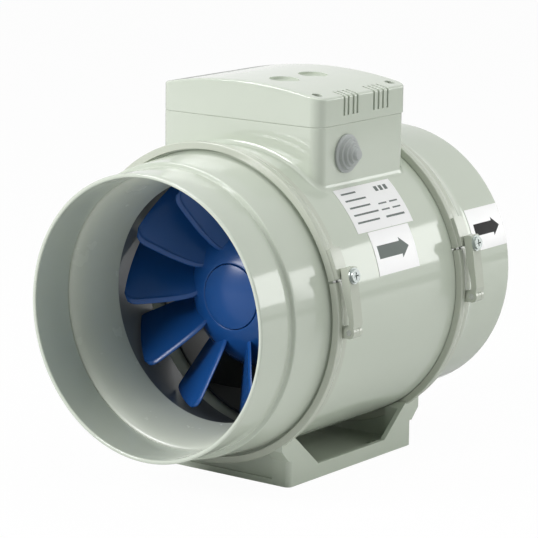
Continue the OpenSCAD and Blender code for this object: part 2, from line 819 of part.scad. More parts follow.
// Side of the foot, drawn with X along the flow and Y upwards
module foot_side() {
    half = foot_l / 2;
    flare = joint_station + clamp_half;
    top = 40;
    slope = 1.16;
    difference() {
        polygon([[-half, 0], [half, 0], [half, foot_flare_z], [flare, foot_flare_z + flare - half],
            [flare, top], [-flare, top], [-flare, foot_flare_z + flare - half], [-half, foot_flare_z]]);
        polygon([[-foot_window / 2, foot_sill], [foot_window / 2, foot_sill],
            [foot_window / 2 + slope * (top + cut - foot_sill), top + cut],
            [-foot_window / 2 - slope * (top + cut - foot_sill), top + cut]]);
    }
}

module foot_walls() {
    post_x = joint_station - clamp_half - 5;
    difference() {
        union() {
            for (sy = [-1, 1]) {
                translate([0, sy > 0 ? foot_w / 2 : foot_wall - foot_w / 2, 0]) rotate([90, 0, 0])
                    linear_extrude(foot_wall) foot_side();
                intersection() {
                    translate([0, sy > 0 ? foot_w / 2 : foot_post_w - foot_w / 2, 0]) rotate([90, 0, 0])
                        linear_extrude(foot_post_w) foot_side();
                    for (sx = [-1, 1]) translate([sx > 0 ? post_x : -post_x - 50, -foot_w, 0])
                        cube([50, 2 * foot_w, 60]);
                }
            }
            for (sx = [-1, 1])
                translate([sx * (foot_l / 2 - foot_end_inset - foot_wall / 2) - foot_wall / 2,
                    foot_post_w - foot_w / 2 - cut, 0]) cube([foot_wall, foot_w - 2 * foot_post_w + 2 * cut, 40]);
        }
        bar(groove_r + 0.3, -foot_l, foot_l);
    }
}

module foot_slots() {
    for (sx = [-1, 1], sy = [-1, 1])
        translate([sx * foot_hole_x / 2, sy * foot_hole_y / 2, -cut]) {
            reach = (foot_slot_l - foot_slot_w) / 2;
            for (side = [-1, 1]) translate([side * reach, 0, 0])
                cylinder(r = foot_slot_w / 2, h = foot_plate + 2 * cut, $fn = 32);
            translate([-reach, -foot_slot_w / 2, 0]) cube([2 * reach, foot_slot_w, foot_plate + 2 * cut]);
        }
}

module mounting_foot() {
    color(shell_grey) {
        difference() {
            union() {
                linear_extrude(foot_plate) round_rect(foot_l, foot_w, foot_corner);
                foot_walls();
            }
            foot_slots();
            difference() {
                translate([0, 0, foot_flare_z / 2 - cut]) cube([2 * foot_l, 2 * foot_w, foot_flare_z], center = true);
                translate([0, 0, -2 * cut]) linear_extrude(foot_flare_z + 3 * cut)
                    round_rect(foot_l, foot_w, foot_corner);
            }
        }
        for (x = clamp_stations) translate([x, 0, 0]) lower_ring();
    }
}

module clamp_band(x) {
    color(shell_grey) translate([x, 0, 0]) difference() {
        union() {
            sector(band_start, 180 - hinge_lap) clamp_profile();
            sector(shoe_start, shoe_end) translate([clamp_r - 1, -clamp_half + 1])
                square([shoe_rise + 1, clamp_half + 4]);
            turned(180) ear(-tongue_half, tongue_half, hinge_out, 0, hinge_r, -ear_web, 0,
                groove_r + seat_gap);
        }
        turned(180) side_bar(hinge_out, 0, pin_r + pin_gap, -clamp_w, clamp_w);
        turned(strap_angle) {
            translate([0, -clamp_r + latch_slot_floor, strap_screw]) rotate([90, 0, 0])
                cylinder(r = latch_slot_r, h = 20, $fn = 48);
            translate([-latch_slot_r, -clamp_r + latch_slot_floor - 20, strap_screw - 20])
                cube([2 * latch_slot_r, 20, 20]);
        }
    }
}

module clamp_pin(x) {
    color(zinc) translate([x, 0, 0]) turned(180)
        side_bar(hinge_out, 0, pin_r, -clamp_half, clamp_half);
}

module latch_pin(x) {
    color(zinc) translate([x, 0, 0]) turned(strap_angle)
        side_bar(latch_pin_out, latch_pin_up, pin_r, -strap_w / 2, strap_w / 2);
}

// Strap over the joint between the foot's ring and the band, thick at its screw end
module latch_strap(x) {
    out = clamp_r + strap_face;
    inner = out - strap_t;
    color(shell_grey) translate([x, 0, 0]) turned(strap_angle) difference() {
        union() {
            side_plate(-strap_w / 2, strap_w / 2) polygon([[inner, strap_end], [out - 1, strap_end],
                [out, strap_end - 1], [out, latch_pin_up + 6], [out - 1.6, latch_pin_up + 1],
                [latch_pin_out, latch_pin_up], [latch_pin_out, latch_pin_up + 4], [out - 4, latch_pin_up + 9],
                [inner, strap_screw - 11]]);
            side_bar(latch_pin_out, latch_pin_up, knuckle_r, -strap_w / 2, strap_w / 2);
        }
        side_bar(latch_pin_out, latch_pin_up, pin_r + pin_gap, -strap_w, strap_w);
        side_bar(latch_pin_out, latch_pin_up, knuckle_r + seat_gap, -latch_ear_half - seat_gap,
            latch_ear_half + seat_gap);
        translate([0, 0, strap_screw]) rotate([90, 0, 0])
            cylinder(r = latch_screw_r + thread_gap, h = out + cut, $fn = 48);
    }
}

module latch_screw(x) {
    out = clamp_r + strap_face;
    tip = clamp_r - latch_slot_floor + seat_gap;
    color(zinc) translate([x, 0, 0]) turned(strap_angle) translate([0, 0, strap_screw]) rotate([90, 0, 0])
        difference() {
            union() {
                translate([0, 0, tip]) cylinder(r = latch_screw_r, h = out - tip + cut, $fn = 48);
                translate([0, 0, out]) cylinder(r = latch_washer_r, h = 0.9, $fn = 48);
                translate([0, 0, out]) cylinder(r = latch_head_r, h = latch_head_h, $fn = 48);
            }
            for (a = [0, 90]) rotate([0, 0, a]) translate([-2.6, -0.5, out + latch_head_h - 1.4])
                cube([5.2, 1, 2]);
        }
}

module inlet_clamp_band() {
    clamp_band(-joint_station);
}

module outlet_clamp_band() {
    clamp_band(joint_station);
}

module inlet_clamp_pin() {
    clamp_pin(-joint_station);
}

module outlet_clamp_pin() {
    clamp_pin(joint_station);
}

module inlet_latch_strap() {
    latch_strap(-joint_station);
}

module outlet_latch_strap() {
    latch_strap(joint_station);
}

module inlet_latch_pin() {
    latch_pin(-joint_station);
}

module outlet_latch_pin() {
    latch_pin(joint_station);
}

module inlet_latch_screw() {
    latch_screw(-joint_station);
}

module outlet_latch_screw() {
    latch_screw(joint_station);
}

// ---------- labels ----------

// Thin curved label on a round surface; area is [first station, last station, low angle, high angle]
module curved_label(r, area) {
    color(white) sector(area[2], area[3]) translate([r + label_gap, area[0]])
        square([label_t, area[1] - area[0]]);
}

module rating_label() {
    curved_label(casing_r, rating_area);
}

module flow_label() {
    curved_label(casing_r, flow_area);
}

module outlet_label() {
    curved_label(spigot_r, outlet_area);
}

inlet_spigot();
inlet_collector();
inlet_seal();
motor_casing();
impeller_shroud();
outlet_seal();
outlet_spigot();
guide_vanes();
tail_cone();
impeller();
nose_cap();
impeller_screws();
rotor_can();
rotor_core();
motor_shaft();
motor_bearings();
stator_core();
stator_windings();
motor_plate();
motor_screws();
motor_lead();
terminal_box_cover();
cover_gasket();
cover_screws();
cable_grommet();
terminal_block();
terminal_screws();
capacitor();
mounting_foot();
inlet_clamp_band();
outlet_clamp_band();
inlet_clamp_pin();
outlet_clamp_pin();
inlet_latch_strap();
outlet_latch_strap();
inlet_latch_pin();
outlet_latch_pin();
inlet_latch_screw();
outlet_latch_screw();
rating_label();
flow_label();
outlet_label();
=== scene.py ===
import math
import bpy
import bmesh
from mathutils import Matrix, Vector


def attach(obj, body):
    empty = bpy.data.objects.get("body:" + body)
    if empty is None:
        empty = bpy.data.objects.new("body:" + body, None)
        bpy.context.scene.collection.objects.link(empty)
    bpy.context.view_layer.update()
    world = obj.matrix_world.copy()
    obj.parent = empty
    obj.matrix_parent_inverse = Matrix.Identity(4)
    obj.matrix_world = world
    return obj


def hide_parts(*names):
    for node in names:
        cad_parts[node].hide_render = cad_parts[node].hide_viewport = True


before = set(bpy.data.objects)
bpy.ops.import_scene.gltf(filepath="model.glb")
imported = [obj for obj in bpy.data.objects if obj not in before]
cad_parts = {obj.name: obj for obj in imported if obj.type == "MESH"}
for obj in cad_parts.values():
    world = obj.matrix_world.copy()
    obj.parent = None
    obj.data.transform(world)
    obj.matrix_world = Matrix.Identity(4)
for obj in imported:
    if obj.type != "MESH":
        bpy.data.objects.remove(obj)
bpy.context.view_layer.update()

MM = 0.001
AXIS_Z = 121.5      # height of the duct axis
JOINT = 75.25       # distance of the casing joints from the middle
FULL = 192          # segments of a whole turn
CASING_R = 107.0
SPIGOT_R = 99.0


# ---------- small helpers ----------

def rad(a):
    return a * math.pi / 180


def polar(x, r, a):
    """Point at station x, radius r and angle a, counted from the latch side (-Y) upwards."""
    return (x, -r * math.cos(rad(a)), AXIS_Z + r * math.sin(rad(a)))


def soften(points, radius, steps=4, closed=True):
    """Rounds the corners of an outline. A point may carry its own radius as a third number."""
    out = []
    n = len(points)
    for i, p in enumerate(points):
        r = p[2] if len(p) > 2 else radius
        if r <= 0 or (not closed and i in (0, n - 1)):
            out.append((p[0], p[1]))
            continue
        here = Vector((p[0], p[1]))
        before = Vector(points[i - 1][:2]) - here
        after = Vector(points[(i + 1) % n][:2]) - here
        if before.length < 1e-9 or after.length < 1e-9:
            out.append((p[0], p[1]))
            continue
        turn = math.pi - before.angle(after)
        if turn < 0.05:
            out.append((p[0], p[1]))
            continue
        cut = min(r * math.tan(turn / 2), 0.48 * before.length, 0.48 * after.length)
        a = here + before.normalized() * cut
        b = here + after.normalized() * cut
        for k in range(steps + 1):
            t = k / steps
            q = a * (1 - t) ** 2 + here * 2 * t * (1 - t) + b * t * t
            out.append((q.x, q.y))
    return out


def clean_mesh(name, verts, faces, drop_degenerate=False):
    """A mesh from points in millimetres, with doubled points merged and its faces turned outwards."""
    mesh = bpy.data.meshes.new(name)
    mesh.from_pydata([(x * MM, y * MM, z * MM) for x, y, z in verts], [], faces)
    bm = bmesh.new()
    bm.from_mesh(mesh)
    bmesh.ops.remove_doubles(bm, verts=bm.verts, dist=1e-7)
    if drop_degenerate:
        bmesh.ops.dissolve_degenerate(bm, edges=bm.edges, dist=1e-8)
    bmesh.ops.recalc_face_normals(bm, faces=bm.faces)
    bm.to_mesh(mesh)
    bm.free()
    return mesh


def make_piece(name, verts, faces, material, **facts):
    """A piece from points in millimetres, riding on a CAD body."""
    return dress(name, clean_mesh(name, verts, faces, True), material, **facts)


def dress(name, mesh, material, body="housing", node=None, slot=None, sharp=35):
    """Links a mesh as a smooth piece, and tells the frame its body and replaced node. The slot is not used."""
    obj = bpy.data.objects.new(name, mesh)
    bpy.context.scene.collection.objects.link(obj)
    mesh.materials.clear()
    mesh.materials.append(material)
    for p in mesh.polygons:
        p.use_smooth = True
    mesh.set_sharp_from_angle(angle=rad(sharp))
    mod = obj.modifiers.new("even shading", "WEIGHTED_NORMAL")
    mod.keep_sharp = True
    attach(obj, body)
    if node:
        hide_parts(node)
    return obj


def loft_faces(rings, n, closed=False):
    """Four-sided faces between rings of n points each, and from the last ring to the first if closed."""
    faces = []
    for i in range(rings if closed else rings - 1):
        j = (i + 1) % rings
        for k in range(n):
            l = (k + 1) % n
            faces.append((i * n + k, i * n + l, j * n + l, j * n + k))
    return faces


def lathe_data(profile, a0=0.0, a1=360.0, seg=None):
    """Points and faces of an outline of (station, radius) turned round the duct axis."""
    full = abs(a1 - a0) >= 359.9
    seg = seg or max(8, int(FULL * abs(a1 - a0) / 360))
    n = len(profile)
    rows = seg if full else seg + 1
    verts = [polar(x, r, a0 + (a1 - a0) * i / seg) for i in range(rows) for x, r in profile]
    faces = loft_faces(rows, n, full)
    if not full:
        faces.append(tuple(range(n)))
        faces.append(tuple(range((rows - 1) * n, rows * n)))
    return verts, faces


def lathe(name, profile, material, a0=0.0, a1=360.0, seg=None, **facts):
    verts, faces = lathe_data(profile, a0, a1, seg)
    return make_piece(name, verts, faces, material, **facts)


def join_data(*parts):
    verts, faces = [], []
    for v, f in parts:
        k = len(verts)
        verts += v
        faces += [tuple(i + k for i in face) for face in f]
    return verts, faces


def prism_data(outline, place, low, high):
    """Outline of two-dimensional points carried by place(u, v, w) from w = low to w = high."""
    n = len(outline)
    verts = [place(u, v, w) for w in (low, high) for u, v in outline]
    faces = [(k, (k + 1) % n, n + (k + 1) % n, n + k) for k in range(n)]
    faces += [tuple(range(n)), tuple(range(n, 2 * n))]
    return verts, faces


def temp_object(data):
    obj = bpy.data.objects.new("tool", clean_mesh("tool", *data))
    bpy.context.scene.collection.objects.link(obj)
    return obj


def carve(base, steps, bevel=0.0, segments=2, angle=40):
    """Applies boolean steps [("DIFFERENCE" or "UNION", data), ...] to base data, and returns the mesh."""
    obj = temp_object(base)
    tools = []
    for kind, data in steps:
        tool = temp_object(data)
        tools.append(tool)
        mod = obj.modifiers.new("step", "BOOLEAN")
        mod.operation = kind
        mod.solver = "EXACT"
        mod.use_self = False
        mod.object = tool
    if bevel:
        mod = obj.modifiers.new("edge", "BEVEL")
        mod.width = bevel * MM
        mod.segments = segments
        mod.limit_method = "ANGLE"
        mod.angle_limit = rad(angle)
        mod.miter_outer = "MITER_ARC"
        mod.use_clamp_overlap = True
    graph = bpy.context.evaluated_depsgraph_get()
    graph.update()
    mesh = bpy.data.meshes.new_from_object(obj.evaluated_get(graph))
    for o in tools + [obj]:
        bpy.data.objects.remove(o)
    return mesh


def box_data(x0, x1, y0, y1, z0, z1):
    verts = [(x, y, z) for x in (x0, x1) for y in (y0, y1) for z in (z0, z1)]
    return verts, [(0, 1, 3, 2), (4, 6, 7, 5), (0, 4, 5, 1), (2, 3, 7, 6), (0, 2, 6, 4), (1, 5, 7, 3)]


def cylinder_data(centre, direction, r, low, high, seg=48):
    d = Vector(direction).normalized()
    side = d.orthogonal().normalized()
    up = d.cross(side)
    c = Vector(centre)

    def place(u, v, w):
        return tuple(c + side * u + up * v + d * w)
    turns = [2 * math.pi * k / seg for k in range(seg)]
    ring = [(r * math.cos(t), r * math.sin(t)) for t in turns]
    return prism_data(ring, place, low, high)


# ---------- materials ----------

class Nodes:
    """Short way to write a material's nodes."""

    def __init__(self, name):
        self.mat = bpy.data.materials.new(name)
        self.mat.use_nodes = True
        self.tree = self.mat.node_tree
        self.shader = self.tree.nodes["Principled BSDF"]

    def add(self, kind, **values):
        node = self.tree.nodes.new(kind)
        for key, value in values.items():
            if key in node.inputs:
                node.inputs[key].default_value = value
            else:
                setattr(node, key, value)
        return node

    def link(self, a, b):
        self.tree.links.new(a, b)

    def noise(self, scale, detail=4.0, rough=0.5, stretch=None):
        coords = self.add("ShaderNodeTexCoord")
        out = coords.outputs["Object"]
        if stretch:
            mapping = self.add("ShaderNodeMapping")
            mapping.inputs["Scale"].default_value = stretch
            self.link(out, mapping.inputs["Vector"])
            out = mapping.outputs["Vector"]
        node = self.add("ShaderNodeTexNoise", Scale=scale, Detail=detail, Roughness=rough)
        self.link(out, node.inputs["Vector"])
        return node.outputs["Fac"]

    def spread(self, fac, low, high):
        """Maps a noise's 0.1 to 0.9 to low to high."""
        node = self.add("ShaderNodeMapRange")
        node.inputs["From Min"].default_value = 0.1
        node.inputs["From Max"].default_value = 0.9
        node.inputs["To Min"].default_value = low
        node.inputs["To Max"].default_value = high
        self.link(fac, node.inputs["Value"])
        return node.outputs["Result"]

    def blend(self, fac, a, b):
        node = self.add("ShaderNodeMix", data_type="RGBA")
        node.inputs[6].default_value = (*a, 1)
        node.inputs[7].default_value = (*b, 1)
        self.link(fac, node.inputs[0])
        return node.outputs[2]

    def bump(self, height, strength, distance, normal=None):
        node = self.add("ShaderNodeBump")
        node.inputs["Strength"].default_value = strength
        node.inputs["Distance"].default_value = distance
        self.link(height, node.inputs["Height"])
        if normal:
            self.link(normal, node.inputs["Normal"])
        return node.outputs["Normal"]


def moulded(name, colour, roughness, specular=0.5, grain=0.25, vary=0.02):
    """Moulded plastic: faint colour drift, a slightly uneven gloss and fine orange peel."""
    n = Nodes(name)
    drift = n.noise(14.0, 3.0)
    darker = tuple(max(0.0, c * (1 - vary)) for c in colour)
    lighter = tuple(min(1.0, c * (1 + vary)) for c in colour)
    n.link(n.blend(drift, darker, lighter), n.shader.inputs["Base Color"])
    fine = n.noise(900.0, 2.0)
    broad = n.noise(60.0, 3.0)
    n.link(n.spread(broad, roughness * 0.85, roughness * 1.15), n.shader.inputs["Roughness"])
    normal = n.bump(fine, grain * 0.1, 0.0001)
    normal = n.bump(broad, grain * 0.05, 0.0002, normal)
    n.link(normal, n.shader.inputs["Normal"])
    n.shader.inputs["Specular IOR Level"].default_value = specular
    n.shader.inputs["IOR"].default_value = 1.52
    return n.mat


def metal(name, colour, roughness, stretch=None, scale=300.0):
    n = Nodes(name)
    streak = n.noise(scale, 4.0, 0.6, stretch)
    drift = n.noise(40.0, 3.0)
    n.link(n.blend(drift, tuple(c * 0.88 for c in colour), colour), n.shader.inputs["Base Color"])
    n.link(n.spread(streak, roughness * 0.7, roughness * 1.4), n.shader.inputs["Roughness"])
    n.link(n.bump(streak, 0.15, 0.0001), n.shader.inputs["Normal"])
    n.shader.inputs["Metallic"].default_value = 1.0
    return n.mat


SHELL = (0.565, 0.618, 0.522)
shell = moulded("shell plastic", SHELL, 0.09, 0.5, 0.22)
clamp_plastic = moulded("clamp plastic", (0.52, 0.555, 0.465), 0.2, 0.5, 0.25)
liner = moulded("liner plastic", (0.55, 0.59, 0.51), 0.26, 0.45, 0.3)
blue = moulded("blade plastic", (0.009, 0.068, 0.25), 0.24, 0.35, 0.3, vary=0.06)
# liner plastic darkened to dark grey for the shroud: painted shade inside the casing behind the throat
liner_painted_shade = moulded("shroud liner painted shade", (0.2, 0.22, 0.225), 0.25, 0.5, 0.2)
vane_plastic = moulded("vane plastic", (0.06, 0.065, 0.062), 0.42, 0.4, 0.5, vary=0.08)
rubber = moulded("seal rubber", (0.12, 0.125, 0.125), 0.6, 0.35, 0.6, vary=0.08)
grommet_rubber = moulded("grommet rubber", (0.40, 0.425, 0.41), 0.5, 0.35, 0.5, vary=0.04)
film = moulded("label film", (0.9, 0.9, 0.89), 0.3, 0.4, 0.15, vary=0.01)
ink_grey = moulded("grey print", (0.17, 0.195, 0.18), 0.6, 0.15, 0.15)
ink_black = moulded("black print", (0.02, 0.02, 0.02), 0.6, 0.15, 0.15)
zinc = metal("zinc plate", (0.46, 0.5, 0.48), 0.34)
steel = metal("ground steel", (0.62, 0.62, 0.62), 0.2)
casting = metal("cast aluminium", (0.66, 0.67, 0.68), 0.45, scale=120.0)
lamination = metal("lamination steel", (0.42, 0.43, 0.44), 0.5, (400.0, 4.0, 4.0), 8.0)
copper = metal("copper winding", (0.72, 0.36, 0.2), 0.32, (6.0, 60.0, 60.0), 40.0)
painted = moulded("rotor paint", (0.12, 0.12, 0.13), 0.3)
magnet = moulded("magnet ferrite", (0.05, 0.05, 0.055), 0.55)
terminal = moulded("terminal plastic", (0.8, 0.8, 0.77), 0.4)
sleeve = moulded("capacitor sleeve", (0.82, 0.82, 0.82), 0.25)
lead_sleeve = moulded("lead sleeve", (0.09, 0.09, 0.09), 0.45)

NODE_MATERIALS = {
    "impeller_screws": zinc, "motor_screws": zinc, "cover_screws": zinc, "terminal_screws": zinc,
    "inlet_latch_screw": zinc, "outlet_latch_screw": zinc, "motor_shaft": steel,
    "motor_bearings": steel, "inlet_clamp_pin": steel, "outlet_clamp_pin": steel,
    "inlet_latch_pin": steel, "outlet_latch_pin": steel, "rotor_can": painted,
    "rotor_core": magnet, "stator_core": lamination, "stator_windings": copper,
    "motor_plate": casting, "inlet_seal": rubber, "outlet_seal": rubber, "cover_gasket": rubber,
    "motor_lead": lead_sleeve, "terminal_block": terminal, "capacitor": sleeve,
    "inlet_latch_strap": clamp_plastic, "outlet_latch_strap": clamp_plastic,
}
for node_name, material in NODE_MATERIALS.items():
    node_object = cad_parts[node_name]
    for material_slot in node_object.material_slots:
        material_slot.material = material
    if node_name.endswith(("latch_strap", "latch_screw")):
        rounding = node_object.modifiers.new("rounded edges", "BEVEL")
        rounding.width = 0.35 * MM
        rounding.segments = 2
        rounding.limit_method = "ANGLE"
        rounding.angle_limit = rad(40)

# ---------- duct ends ----------


def spigot(name, profile, sign):
    outline = soften(profile, 0.4, 4)
    if sign < 0:
        outline = [(-x, r) for x, r in outline]
    return lathe(name, outline, shell, node=name, slot="shell")


# distance from the middle, radius, corner radius; from the rim along the outside, then back inside
spigot("inlet_spigot", [
    (151.0, 96.0, 1.4), (151.0, SPIGOT_R, 1.4), (119.2, SPIGOT_R, 0.5), (118.6, 99.7, 0.3), (118.2, 102.4, 1.2),
    (116.4, 102.6, 1.6), (81.0, 105.4, 0.8), (80.05, 106.2, 0.4), (80.05, 108.2, 0.3), (76.05, 108.2, 0.3),
    (76.05, 99.7, 0.2), (116.3, 99.7, 0.2), (116.3, 96.0, 0.6)], -1)
spigot("outlet_spigot", [
    (151.0, 96.0, 1.4), (151.0, SPIGOT_R, 1.4), (100.05, SPIGOT_R, 30), (88.05, 105.5, 30), (80.55, 105.5, 0.8),
    (80.05, 106.2, 0.4), (80.05, 108.2, 0.3), (76.05, 108.2, 0.3), (76.05, 102.0, 0.2), (88.05, 102.0, 20),
    (100.05, 96.0, 20)], 1)

# bell mouth inside the inlet, from its rim over the mouth to the throat and back outside
MOUTH_R, THROAT_R, THROAT_X, BELL_L, BELL_T = 96.6, 85.4, -74.45, 41.55, 2.2
bell = [(THROAT_X - BELL_L * math.cos(rad(t)), THROAT_R + (MOUTH_R - THROAT_R) * (1 - math.sin(rad(t))))
        for t in range(0, 91, 5)]
back_bell = [(THROAT_X - BELL_L * math.cos(rad(t)),
              THROAT_R + BELL_T + (MOUTH_R - THROAT_R) * (1 - math.sin(rad(t)))) for t in range(90, 21, -5)]
bell_rim = [(-116.0, 99.2), (-116.0, 97.4), (-115.9, 96.8)]
bell_lip = [(-75.0, 85.25), (-74.3, 85.4), (-73.9, 86.0), (-73.9, 86.9), (-74.3, 87.6)]
bell_line = bell_rim + bell[1:-1] + bell_lip + back_bell[1:] + [(-108.0, 97.0), (-108.0, 99.2)]
lathe("inlet_collector", bell_line, liner, node="inlet_collector", slot="liner")

shroud_line = [(-73.95, 88.0), (-73.95, 103.7), (-71.95, 103.7), (-71.95, 91.0), (-20.0, 103.7), (-20.0, 101.7)]
# the shroud takes the liner plastic darkened as painted shade
lathe("impeller_shroud", soften(shroud_line, 0.5), liner_painted_shade, node="impeller_shroud", slot="liner")

# ---------- motor casing and terminal box ----------

BOX_MID, BOX_L, BOX_W, BOX_R = 4.0, 105.0, 138.0, 9.0
SEAM = AXIS_Z + 124.4
WALL = 3.0
CABLE_X, CABLE_Z = -17.0, AXIS_Z + 104.0


def half_outline(length, width, radius, inset):
    """One end of a rounded rectangle, from -Y to +Y, as (x, y, normal) with x from the middle."""
    steps, side = 10, 24
    r = max(radius - inset, 0.5)
    cx, cy = length / 2 - inset - r, width / 2 - inset - r
    pts = []
    for k in range(steps + 1):
        t = -90 + 90 * k / steps
        c, s = math.cos(rad(t)), math.sin(rad(t))
        pts.append((cx + r * c, -cy + r * s, (c, s)))
    for k in range(1, side):
        pts.append((cx + r, -cy + 2 * cy * k / side, (1.0, 0.0)))
    for k in range(steps + 1):
        t = 90 * k / steps
        c, s = math.cos(rad(t)), math.sin(rad(t))
        pts.append((cx + r * c, cy + r * s, (c, s)))
    return pts


def whole_outline(length, width, radius, inset=0.0, along=24):
    """The whole rounded rectangle, with points along its long sides too."""
    right = half_outline(length, width, radius, inset)
    left = [(-x, y, (-nx, ny)) for x, y, (nx, ny) in reversed(right)]
    top_y = right[-1][1]
    x0 = right[-1][0]
    top = [(x0 - 2 * x0 * k / along, top_y, (0.0, 1.0)) for k in range(1, along)]
    bottom = [(-x, -y, (0.0, -1.0)) for x, y, _ in top]
    return right + top + left + bottom


def casing_surface(y, r):
    return AXIS_Z + math.sqrt(max(r * r - y * y, 0.0))


casing_outline = soften([(-74.45, 104.0), (-74.45, 108.2), (-70.45, 108.2), (-70.45, CASING_R, 0.2),
                         (70.45, CASING_R, 0.2), (70.45, 108.2), (74.45, 108.2), (74.45, 104.0),
                         (63.0, 104.0, 0.2), (63.0, 101.5), (60.6, 101.5), (60.6, 104.0, 0.2)], 0.3)

# walls of the box: rows of the outline from the seam down to a fillet on the casing
FILLET = 3.2
loop = whole_outline(BOX_L, BOX_W, BOX_R)
rows = []
for inset, z in ((0.7, SEAM), (0.3, SEAM - 0.12), (0.0, SEAM - 0.5)):
    rows.append([(BOX_MID + x - nx * inset, y - ny * inset, z) for x, y, (nx, ny) in loop])
for part in (0.25, 0.5, 0.75):
    rows.append([(BOX_MID + x, y, SEAM - 0.5 - part * (SEAM - 0.5 - casing_surface(y, CASING_R) - FILLET))
                 for x, y, n in loop])
for k in range(9):
    t = k / 8
    row = []
    for x, y, (nx, ny) in loop:
        flare = FILLET * (1 - math.cos(rad(90 * t)))
        px, py = x + nx * flare, y + ny * flare
        row.append((BOX_MID + px, py,
                    casing_surface(py, CASING_R) + FILLET * (1 - math.sin(rad(90 * t))) - 0.05 * t))
    rows.append(row)
inner = whole_outline(BOX_L, BOX_W, BOX_R, WALL)
rows.insert(0, [(BOX_MID + x, y, SEAM) for x, y, n in inner])
rows.insert(0, [(BOX_MID + x, y, casing_surface(y, 106.5)) for x, y, n in inner])
tuck = FILLET - 0.4
rows.append([(BOX_MID + x + nx * tuck, y + ny * tuck, casing_surface(y + ny * tuck, 105.8))
             for x, y, (nx, ny) in loop])
wall_data = ([p for row in rows for p in row], loft_faces(len(rows), len(loop), True))
cable_hole = cylinder_data((CABLE_X, -66.0, CABLE_Z), (0, -1, 0), 10.2, -8, 8)
walls_mesh = carve(wall_data, [("DIFFERENCE", cable_hole)])
dress("terminal_box_walls", walls_mesh, shell, slot="shell")
lathe("motor_casing", casing_outline, shell, node="motor_casing", slot="shell")

# cover: loops of the outline, rounded over the top edge, closed by strips along the crown
COVER_MID, COVER_L, COVER_H, CROWN = 4.75, 106.5, 27.0, 320.0


def crown(y, drop=0.0):
    return SEAM + COVER_H - CROWN + math.sqrt((CROWN - drop) ** 2 - y * y)


def cover_shell(inset, edge):
    """Rows from the seam to the top edge, then the crown's strips. Returns points, faces and a row's length."""
    right = half_outline(COVER_L, BOX_W, BOX_R, inset)
    left = [(-x, y, (-nx, ny)) for x, y, (nx, ny) in reversed(right)]
    ring = right + left
    verts = []
    if inset == 0:
        levels = [(0.5, lambda y: SEAM + 0.02), (0.15, lambda y: SEAM + 0.15), (0.0, lambda y: SEAM + 0.5)]
    else:
        levels = [(0.0, lambda y: SEAM + 0.02)]
    levels.append((0.0, lambda y: crown(y, inset) - edge))
    for k in range(1, 6):
        t = 90 * k / 5
        levels.append((edge * (1 - math.cos(rad(t))),
                       lambda y, t=t: crown(y, inset) - edge * (1 - math.sin(rad(t)))))
    for offset, height in levels:
        for x, y, (nx, ny) in ring:
            px, py = x - nx * offset, y - ny * offset
            verts.append((COVER_MID + px, py, height(py)))
    n, m = len(ring), len(right)
    faces = loft_faces(len(levels), n)
    top = (len(levels) - 1) * n
    for k in range(m - 1):
        faces.append((top + k, top + k + 1, top + n - 2 - k, top + n - 1 - k))
    return verts, faces, n


outer_verts, outer_faces, n_ring = cover_shell(0.0, 1.5)
inner_verts, inner_faces, _ = cover_shell(WALL, 1.0)
offset = len(outer_verts)
cover_verts = outer_verts + inner_verts
cover_faces = outer_faces + [tuple(i + offset for i in f) for f in inner_faces]
for k in range(n_ring):
    l = (k + 1) % n_ring
    cover_faces.append((k, l, offset + l, offset + k))
cover_cuts = []
SLITS = (-19.7, -14.9, -9.0, -4.2, 15.7, 21.2, 26.7, 32.3)
for side in (-1, 1):
    for x in SLITS:
        y0, y1 = sorted((side * 80.0, side * 59.0))
        cover_cuts.append(box_data(x - 1, x + 1, y0, y1, SEAM + 6.0, SEAM + 40))
COLUMN_X, COLUMN_Y = (BOX_L / 2 - 9.0), (BOX_W / 2 - 9.0)
columns = [(BOX_MID + sx * COLUMN_X, sy * COLUMN_Y) for sx in (-1, 1) for sy in (-1, 1)]
for x, y in columns:
    cover_cuts.append(cylinder_data((x, y, SEAM), (0, 0, 1), 3.6, 3.0, 60))
RECESSES = (-19.5, 14.3)
for x in RECESSES:
    cover_cuts.append(cylinder_data((x, -17.5, SEAM), (0, 0, 1), 10.5, COVER_H - 1.8, 60, 64))
cover_mesh = carve((cover_verts, cover_faces), [("DIFFERENCE", join_data(*cover_cuts))], 0.35, 3, 42)
dress("terminal_box_cover", cover_mesh, shell, node="terminal_box_cover", slot="shell", sharp=40)

# stepped rubber grommet
FACE, GROMMET_SEG = BOX_W / 2, 72
grommet_line = [(0.0, FACE - 5), (12.1, FACE - 5), (12.1, FACE - 3), (9.9, FACE - 3), (9.9, FACE),
                (13.5, FACE), (13.5, FACE + 1.6), (11.9, FACE + 2.1)]
for i in range(4):
    r = 11.1 - 2.4 * i
    grommet_line += [(r + 0.2, FACE + 2.1 + 2.3 * i), (r - 0.5, FACE + 2.1 + 2.3 * (i + 1))]
grommet_line.append((0.0, FACE + 2.1 + 9.2))
grommet_line = soften(grommet_line, 0.45, 4, closed=False)
grommet_verts = []
for r, d in grommet_line:
    for k in range(GROMMET_SEG):
        t = 2 * math.pi * k / GROMMET_SEG
        grommet_verts.append((CABLE_X + r * math.cos(t), -d, CABLE_Z + r * math.sin(t)))
make_piece("cable_grommet", grommet_verts, loft_faces(len(grommet_line), GROMMET_SEG), grommet_rubber,
           node="cable_grommet", slot="grommet")

# ---------- clamps and foot ----------

